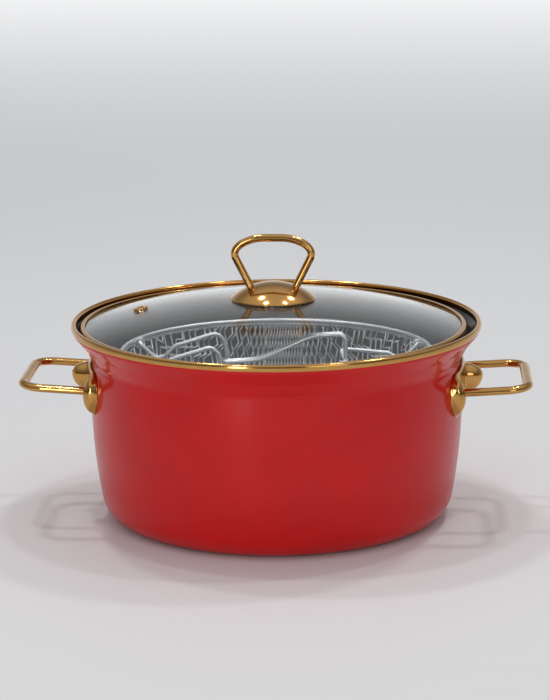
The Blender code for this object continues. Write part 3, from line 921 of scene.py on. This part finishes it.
@dataclass
class Knob:
    """The domed cap, the bent rod on it and the parts that clamp it through the glass."""

    finishes: Finishes
    lid: Lid
    cap_rise: float = 10.7 * MM
    sheet: float = 1.0 * MM
    rod: float = 5.2 * MM
    foot: float = 15.3 * MM
    shoulder: float = 26.9 * MM
    crown: float = 12.0 * MM
    gap: float = 0.3 * MM
    thread_pitch: float = 0.8 * MM
    thread_depth: float = 0.25 * MM
    screw_radius: float = 2.5 * MM
    screw_bore: float = 2.8 * MM
    screw_head: float = 3.5 * MM
    shoulder_drop: float = 10.0 * MM    # of the loop's widest bend below the rod's crest
    crown_drop: float = 4.2 * MM

    def __post_init__(self) -> None:
        """Read the knob's place from the frame."""
        low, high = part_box("knob_cap")
        self.radius = (high.y - low.y) / 2
        self.cap_top = high.z
        self.curve = (self.radius**2 + self.cap_rise**2) / (2 * self.cap_rise)
        self.rod_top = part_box("knob_rod")[1].z - self.rod / 2

    def cap_height(self, radius: float) -> float:
        """The height of the cap's top at a distance from its middle."""
        return self.cap_top - self.curve + sqrt(self.curve**2 - radius**2)

    def build_cap(self) -> bpy.types.Object:
        """The spun cap, with a turned-down edge."""
        steps = 24
        radii = [self.radius * 0.985 * k / steps for k in range(steps + 1)]
        above = [Vector((r, self.cap_height(r))) for r in radii]
        below = [Vector((r * (1 - self.sheet / self.radius), self.cap_height(r) - self.sheet)) for r in radii]
        edge = Vector((self.radius, self.cap_height(radii[-1]) - self.sheet * 0.7))
        line = rounded(above + [edge] + list(reversed(below)), [0.0] * (steps - 1) + [self.sheet, 0.3 * MM])
        mesh = placed(lathe(line, 128), self.lid.place)
        return finished("knob_domed_cap", mesh, self.finishes.gold, Body.LID, ["knob_cap"])

    def build_rod(self) -> bpy.types.Object:
        """The rod, bent to a wide loop whose two feet stand on the cap."""
        foot_height = self.cap_height(self.foot) - self.sheet / 2
        half = rounded(
            [
                (self.foot, 0, foot_height),
                (self.shoulder, 0, self.rod_top - self.shoulder_drop),
                (self.shoulder - self.rod, 0, self.rod_top - self.crown_drop),
                (self.crown, 0, self.rod_top),
                (0, 0, self.rod_top),
            ],
            [6 * MM, 12 * MM, 30 * MM],
            radians(5),
        )
        path = mirrored(half, lambda p: Vector((-p.x, p.y, p.z)))
        mesh = placed(tubes([path], self.rod, 8), self.lid.place)
        return finished("knob_bent_rod", mesh, self.finishes.gold, Body.LID, ["knob_rod"])

    def _washer(self, node: str, name: str, inner: float, finish: Finish) -> None:
        """A flat ring with eased edges, where the frame has its node."""
        low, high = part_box(node)
        outer = (high.y - low.y) / 2
        ease = min(0.25 * MM, (high.z - low.z) / 4)
        line = rounded(
            [
                (inner, middle(node).z),
                (inner, high.z),
                (outer, high.z),
                (outer, low.z),
                (inner, low.z),
                (inner, middle(node).z),
            ],
            [ease] * 4,
            radians(30),
        )
        mesh = placed(lathe(line[:-1], 64, closed=True), self.lid.place)
        finished(name, mesh, finish, Body.LID, [node])

    def build_stack(self) -> None:
        """The boss, seals and washer under and over the glass."""
        steel, rubber = self.finishes.steel, self.finishes.rubber
        low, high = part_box("knob_boss")
        round_boss = (high.y - low.y) / 2 + self.gap
        self._washer("knob_boss", "knob_turned_boss", self.screw_bore, steel)
        self._washer("knob_upper_seal", "knob_top_seal", round_boss, rubber)
        self._washer("knob_lower_seal", "knob_under_seal", self.screw_bore, rubber)
        self._washer("knob_washer", "knob_flat_washer", self.screw_bore, steel)
        self._screw()

    def _screw(self) -> None:
        """The pan-head screw, with a threaded shank and a crosswise slot in its head."""
        bottom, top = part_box("knob_screw")
        low, high, head_radius = bottom.z, top.z, top.y
        radius, head = self.screw_radius, self.screw_head
        turns = int((high - low - head) / self.thread_pitch) - 1
        ridges = [
            point
            for k in range(turns, 0, -1)
            for point in (
                (radius - self.thread_depth, low + head + (k + 0.5) * self.thread_pitch),
                (radius, low + head + k * self.thread_pitch),
            )
        ]
        line = (
            [Vector((0, high)), Vector((radius - self.thread_depth, high))]
            + [Vector(point) for point in ridges]
            + rounded(
                [(radius, low + head), (head_radius, low + head), (head_radius, low), (0, low)],
                [0.3 * MM, 1.8 * MM],
            )
        )
        mesh = placed(lathe(line, 48), self.lid.place)
        screw = finished("knob_pan_screw", mesh, self.finishes.steel, Body.LID, ["knob_screw"])
        groove = bmesh.new()
        bmesh.ops.create_cube(
            groove,
            size=1,
            matrix=self.lid.place
            @ Matrix.Translation((0, 0, low))
            @ Matrix.Diagonal((3 * head_radius, 1.1 * MM, 2 * head / 2.4, 1)),
        )
        bored(screw, groove)


# ---------------------------------------------------------------- basket


@dataclass
class Basket:
    """The chromed basket: linked zigzag wires on a rim, a binding wire and a foot ring."""

    finishes: Finishes
    rim_wire: float = 2.8 * MM
    binding_wire: float = 1.6 * MM
    foot_wire: float = 3.0 * MM
    eye_wire: float = 1.6 * MM
    mesh_wire: float = 1.15 * MM
    spacing: float = 1.9 * MM        # between zigzag wires at the middle, before the cup is formed
    dense_rows: int = 11             # how many wires from the middle keep that spacing
    spacing_growth: float = 0.12 * MM    # how fast the spacing widens past them
    pitch: float = 15.0 * MM         # one full zigzag along a wire
    overlap: float = 0.45 * MM       # how far a wire's bends reach round its neighbour's
    corner: float = 8.0 * MM
    turns: int = 192

    def __post_init__(self) -> None:
        """Read the cup's size and place from the frame."""
        low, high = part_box("basket_mesh")
        self.floor = low.z + self.mesh_wire
        self.cup_radius = high.y - self.mesh_wire
        self.foot_radius = self.cup_radius - 4.2 * MM
        self.binding_height = middle("basket_binding_wire").z
        self.binding_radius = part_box("basket_binding_wire")[1].y - self.binding_wire / 2
        self.profile = rounded(
            [
                (0, self.floor),
                (self.foot_radius, self.floor),
                (self.cup_radius, self.binding_height - self.binding_wire),
                (self.binding_radius, self.binding_height),
            ],
            [self.corner, self.corner],
        )
        self.lengths = [0.0]
        for a, b in zip(self.profile, self.profile[1:]):
            self.lengths.append(self.lengths[-1] + (b - a).length)

    def _on_cup(self, x: float, y: float, lift: float) -> Vector:
        """Carry a point of the flat mesh onto the cup.

        Args:
            x: place across the wires of the flat disc.
            y: place along them.
            lift: how far the point stands off the cup, inwards.

        Returns:
            The point on the cup.
        """
        distance = min(hypot(x, y), self.lengths[-1])
        number = next(i for i, reach in enumerate(self.lengths[1:]) if distance <= reach + 1e-9)
        start, end = self.profile[number], self.profile[number + 1]
        share = (distance - self.lengths[number]) / (self.lengths[number + 1] - self.lengths[number])
        along = (end - start).normalized()
        spot = start.lerp(end, share) + Vector((-along.y, along.x)) * lift
        turn = atan2(x, y)
        return Vector((spot.x * sin(turn), spot.x * cos(turn), spot.y))

    def _across(self, row: int) -> float:
        """Where a zigzag wire lies across the flat disc, counted from the middle."""
        loose = max(0, abs(row) - self.dense_rows)
        return row * self.spacing + loose * loose * self.spacing_growth * (1 if row > 0 else -1)

    def build_mesh(self) -> bpy.types.Object:
        """The chain-linked zigzag wires, laid as a flat disc and formed into the cup."""
        reach = self.lengths[-1]
        layer = self.mesh_wire * 0.55
        rows = [0]
        while self._across(rows[-1] + 1) < reach - 4 * self.spacing:
            rows.append(rows[-1] + 1)
        paths = []
        for row in [-number for number in reversed(rows[1:])] + rows:
            across = self._across(row)
            swing = (self._across(abs(row) + 1) - self._across(abs(row))) / 2 + self.overlap
            half = sqrt(reach**2 - across**2)
            strokes = max(2, int(2 * half / (self.pitch / 2)))
            path = []
            for stroke in range(strokes + 1):
                along = -half + 2 * half * stroke / strokes
                way = 1 if (stroke + row) % 2 else -1
                limit = max(0.0, reach**2 - along**2)
                x = max(-sqrt(limit), min(sqrt(limit), across + way * swing))
                bend = 0.35 * self.mesh_wire
                path.append(self._on_cup(x - way * bend, along - bend, way * layer))
                path.append(self._on_cup(x - way * bend, along + bend, -way * layer))
            paths.append(path)
        mesh = tubes(paths, self.mesh_wire, 2)
        chrome = self.finishes.chrome
        return finished("basket_linked_mesh", mesh, chrome, Body.BASKET, ["basket_mesh"], sharp=180)

    def build_rings(self) -> None:
        """The rim, binding and foot wires."""
        for node, name, wire in (
            ("basket_rim_wire", "basket_top_ring", self.rim_wire),
            ("basket_binding_wire", "basket_binding_ring", self.binding_wire),
            ("basket_foot_wire", "basket_foot_ring", self.foot_wire),
        ):
            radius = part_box(node)[1].y - wire / 2
            mesh = hoop(radius, wire, middle(node).z, self.turns)
            finished(name, mesh, self.finishes.chrome, Body.BASKET, [node])

    def build_eyes(self) -> None:
        """The four hinge eyes, each with the bead of weld that holds it to the rim."""
        for side in ("left", "right"):
            for end in ("front", "back"):
                node = f"basket_{side}_{end}_eye"
                low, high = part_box(node)
                radius = (high.z - low.z) / 2 - self.eye_wire / 2
                mesh = placed(
                    hoop(radius, self.eye_wire, 0, 40, 12),
                    Matrix.Translation(middle(node)) @ Matrix.Rotation(pi / 2, 4, "X"),
                )
                outwards = Vector((middle(node).x, middle(node).y, 0)).normalized()
                weld = middle(node) + outwards * (high.z - low.z) / 2
                bmesh.ops.create_uvsphere(
                    mesh,
                    u_segments=16,
                    v_segments=10,
                    radius=0.62 * self.eye_wire,
                    matrix=Matrix.Translation(weld) @ Matrix.Diagonal((1, 1.3, 1.3, 1)),
                )
                finished(f"basket_{side}_{end}_loop", mesh, self.finishes.chrome, Body.BASKET, [node])


class WireHandle(Enum):
    """The basket's two folding handles: node, body and which way it runs from its hinge."""

    LONG = ("basket_long_handle", Body.LONG_HANDLE, "right", 0.0)
    SHORT = ("basket_short_handle", Body.SHORT_HANDLE, "left", pi)


@dataclass
class FoldingHandle:
    """A handle bent from one chromed wire, lying folded inwards over the basket."""

    finishes: Finishes
    kind: WireHandle
    wire: float = 2.8 * MM
    pin: float = 6.0 * MM
    arm: float = 22.4 * MM
    grip: float = 2.1 * MM
    step: float = radians(7)

    def _foot(self) -> list[Vector]:
        """The hinge pin and the arm's dip below the rim, seen from the hinge."""
        return [
            Vector((0, self.arm + self.pin, 0)),
            Vector((0, self.arm, 0)),
            Vector((-11.2, self.arm / MM, -10.6)) * MM,
        ]

    def _long(self) -> list[Vector]:
        """Half of the long handle: two wires that close to a doubled, raised grip."""
        grip = self.grip / MM
        arm = self.arm / MM
        corners = [
            Vector(point) * MM
            for point in (
                (-20.2, arm, -6.0),
                (-52.9, arm, -3.0),
                (-48.3, grip, -7.5),
                (-48.3, grip, 11.7),
                (-70.9, grip, 10.5),
                (-106.7, grip, -5.9),
                (-130.2, grip, -7.5),
                (-130.2, 0, -7.5),
            )
        ]
        bends = [r * MM for r in (2, 4, 6, 5, 2.5, 5, 30, 35, 2.05)]
        return rounded(self._foot() + corners, bends, self.step)

    def _short(self) -> list[Vector]:
        """Half of the short handle: one loop that rises and turns down to a cross bar."""
        arm = self.arm / MM
        corners = [
            Vector(point) * MM
            for point in (
                (-17.5, arm, -8.5),
                (-24.4, arm, -1.6),
                (-56.4, arm, 8.5),
                (-61.1, arm, -14.5),
                (-61.1, 0, -14.5),
            )
        ]
        return rounded(self._foot() + corners, [r * MM for r in (2, 4, 5, 8, 7, 5)], self.step)

    def build(self) -> bpy.types.Object:
        """Bend the wire and set it in its eyes."""
        node, body, side, turn = self.kind.value
        half = self._long() if self.kind is WireHandle.LONG else self._short()
        path = mirrored(half, lambda p: Vector((p.x, -p.y, p.z)))
        eye = middle(f"basket_{side}_back_eye")
        hinge = Matrix.Translation((eye.x, 0, eye.z)) @ Matrix.Rotation(turn, 4, "Z")
        mesh = placed(tubes([path], self.wire, 4), hinge)
        return finished(f"{node}_bend", mesh, self.finishes.chrome, body, [node])


# ---------------------------------------------------------------- studio


@dataclass(frozen=True)
class Softbox:
    """A soft rectangular lamp that looks at the casserole."""

    name: str
    azimuth: float           # degrees; 0 is in front, 90 at the right
    elevation: float
    distance: float
    size: tuple[float, float]
    power: float
    aim: tuple[float, float, float] = (0.0, 0.0, 0.08)

    def build(self) -> None:
        """Hang the lamp."""
        lamp = bpy.data.lights.new(self.name, "AREA")
        lamp.shape = "RECTANGLE"
        lamp.size, lamp.size_y = self.size
        lamp.energy = self.power
        holder = bpy.data.objects.new(self.name, lamp)
        bpy.context.scene.collection.objects.link(holder)
        turn, rise = radians(self.azimuth), radians(self.elevation)
        way = Vector((sin(turn) * cos(rise), -cos(turn) * cos(rise), sin(rise)))
        holder.location = Vector(self.aim) + way * self.distance
        holder.rotation_euler = way.to_track_quat("Z", "Y").to_euler()


@dataclass(frozen=True)
class Studio:
    """The pale floor, the soft surroundings, the lamps and the camera."""

    floor_radius: float = 40.0
    floor_gap: float = 0.1 * MM
    floor_colour: str = "#E2E2E3"
    backdrop_wash: float = 0.6       # light on the far end of the floor
    wash_from: float = 0.3           # metres behind the casserole where it starts and is full
    wash_full: float = 5.0
    horizon_back: float = 0.85
    horizon_front: float = 0.1
    front_until: float = -0.35       # the depth, from -1 to 1, where the room starts to brighten
    upper_wall: float = 0.3
    upper_from: float = 0.5          # the sine of the height where the room's walls turn even
    overhead: float = 0.7
    overhead_from: float = 0.85
    camera_distance: float = 1.75
    camera_azimuth: float = 3.0
    camera_elevation: float = 12.9
    camera_roll: float = -0.42
    camera_aim: Vector = Vector((-0.001, 0.0, 0.1127))
    lens: float = 133.2

    def build(self) -> None:
        """Set up everything round the casserole."""
        self._floor()
        self._surroundings()
        self._camera()
        for lamp in (
            Softbox("strip_left", -17, 9, 1.4, (0.2, 0.8), 4.0),
            Softbox("panel_right", 30, 16, 1.9, (0.7, 0.8), 3.6),
            Softbox("ceiling_1", -138, 68, 1.7, (0.12, 0.12), 3.6),
            Softbox("ceiling_2", 137, 61, 1.7, (0.12, 0.12), 3.6),
            Softbox("ceiling_3", -103, 80, 1.7, (0.08, 0.08), 2.6),
            Softbox("ceiling_4", 109, 74, 1.7, (0.08, 0.08), 2.6),
        ):
            lamp.build()

    def _floor(self) -> None:
        """A wide disc that reaches past the view in every direction."""
        mesh = bmesh.new()
        bmesh.ops.create_circle(mesh, cap_ends=True, segments=64, radius=self.floor_radius)
        placed(mesh, Matrix.Translation((0, 0, -self.floor_gap)))
        data = bpy.data.meshes.new("studio_floor")
        mesh.to_mesh(data)
        mesh.free()
        finish, tree, shader = new_material("studio_floor_paper")
        place = add_node(tree, "ShaderNodeNewGeometry")
        parts = add_node(tree, "ShaderNodeSeparateXYZ", inputs={0: place.outputs["Position"]})
        wash = add_node(
            tree,
            "ShaderNodeMapRange",
            {"interpolation_type": "SMOOTHSTEP"},
            {
                "Value": parts.outputs["Y"],
                "From Min": self.wash_from,
                "From Max": self.wash_full,
                "To Max": self.backdrop_wash,
            },
        )
        fill(
            shader,
            {
                "Base Color": linear(self.floor_colour),
                "Roughness": 0.6,
                "Specular IOR Level": 0.2,
                "Emission Color": linear("#FFFFFF"),
                "Emission Strength": wash.outputs["Result"],
            },
        )
        data.materials.append(finish)
        floor = bpy.data.objects.new("studio_floor", data)
        bpy.context.scene.collection.objects.link(floor)

    def _surroundings(self) -> None:
        """A pale room that is brighter behind the casserole than in front of it."""
        world = bpy.data.worlds.new("studio")
        bpy.context.scene.world = world
        world.use_nodes = True
        tree = world.node_tree
        shader = tree.nodes["Background"]
        place = add_node(tree, "ShaderNodeTexCoord")
        parts = add_node(tree, "ShaderNodeSeparateXYZ", inputs={0: place.outputs["Generated"]})
        depth = add_node(
            tree,
            "ShaderNodeMapRange",
            {"interpolation_type": "SMOOTHSTEP"},
            {
                "Value": parts.outputs["Y"],
                "From Min": self.front_until,
                "From Max": 1.0,
                "To Min": self.horizon_front,
                "To Max": self.horizon_back,
            },
        )
        level = depth.outputs["Result"]
        for start, end, strength in (
            (0.0, self.upper_from, self.upper_wall),
            (self.upper_from, self.overhead_from, self.overhead),
        ):
            height = add_node(
                tree,
                "ShaderNodeMapRange",
                {"interpolation_type": "SMOOTHSTEP"},
                {"Value": parts.outputs["Z"], "From Min": start, "From Max": end},
            )
            blend = add_node(
                tree, "ShaderNodeMix", inputs={0: height.outputs["Result"], 2: level, 3: strength}
            )
            level = blend.outputs[0]
        fill(shader, {"Strength": level, "Color": linear("#F4F6F8")})

    def _camera(self) -> None:
        """The camera at its angle, level but for a small roll."""
        data = bpy.data.cameras.new("camera")
        data.lens = self.lens
        data.sensor_width = 36.0
        data.clip_end = 100.0
        camera = bpy.data.objects.new("camera", data)
        bpy.context.scene.collection.objects.link(camera)
        turn, rise = radians(self.camera_azimuth), radians(self.camera_elevation)
        way = Vector((sin(turn) * cos(rise), -cos(turn) * cos(rise), sin(rise)))
        look = way.to_track_quat("Z", "Y").to_matrix().to_4x4()
        roll = Matrix.Rotation(radians(self.camera_roll), 4, "Z")
        camera.matrix_world = Matrix.Translation(self.camera_aim + way * self.camera_distance) @ look @ roll
        bpy.context.scene.camera = camera


def main() -> None:
    """Build every piece round the frame."""
    bpy.context.scene.view_settings.view_transform = "Standard"
    Studio().build()
    finishes = Finishes.build()
    pot = Pot(finishes)
    pot.build_shell()
    pot.build_trim()
    for side in Side:
        handle = SideHandle(finishes, side)
        handle.build_bracket()
        handle.build_rod()
    lid = Lid(finishes)
    lid.build_glass()
    lid.build_band()
    lid.build_vent()
    knob = Knob(finishes, lid)
    knob.build_cap()
    knob.build_rod()
    knob.build_stack()
    basket = Basket(finishes)
    basket.build_mesh()
    basket.build_rings()
    basket.build_eyes()
    for kind in WireHandle:
        FoldingHandle(finishes, kind).build()


if __name__ == "__main__":
    main()
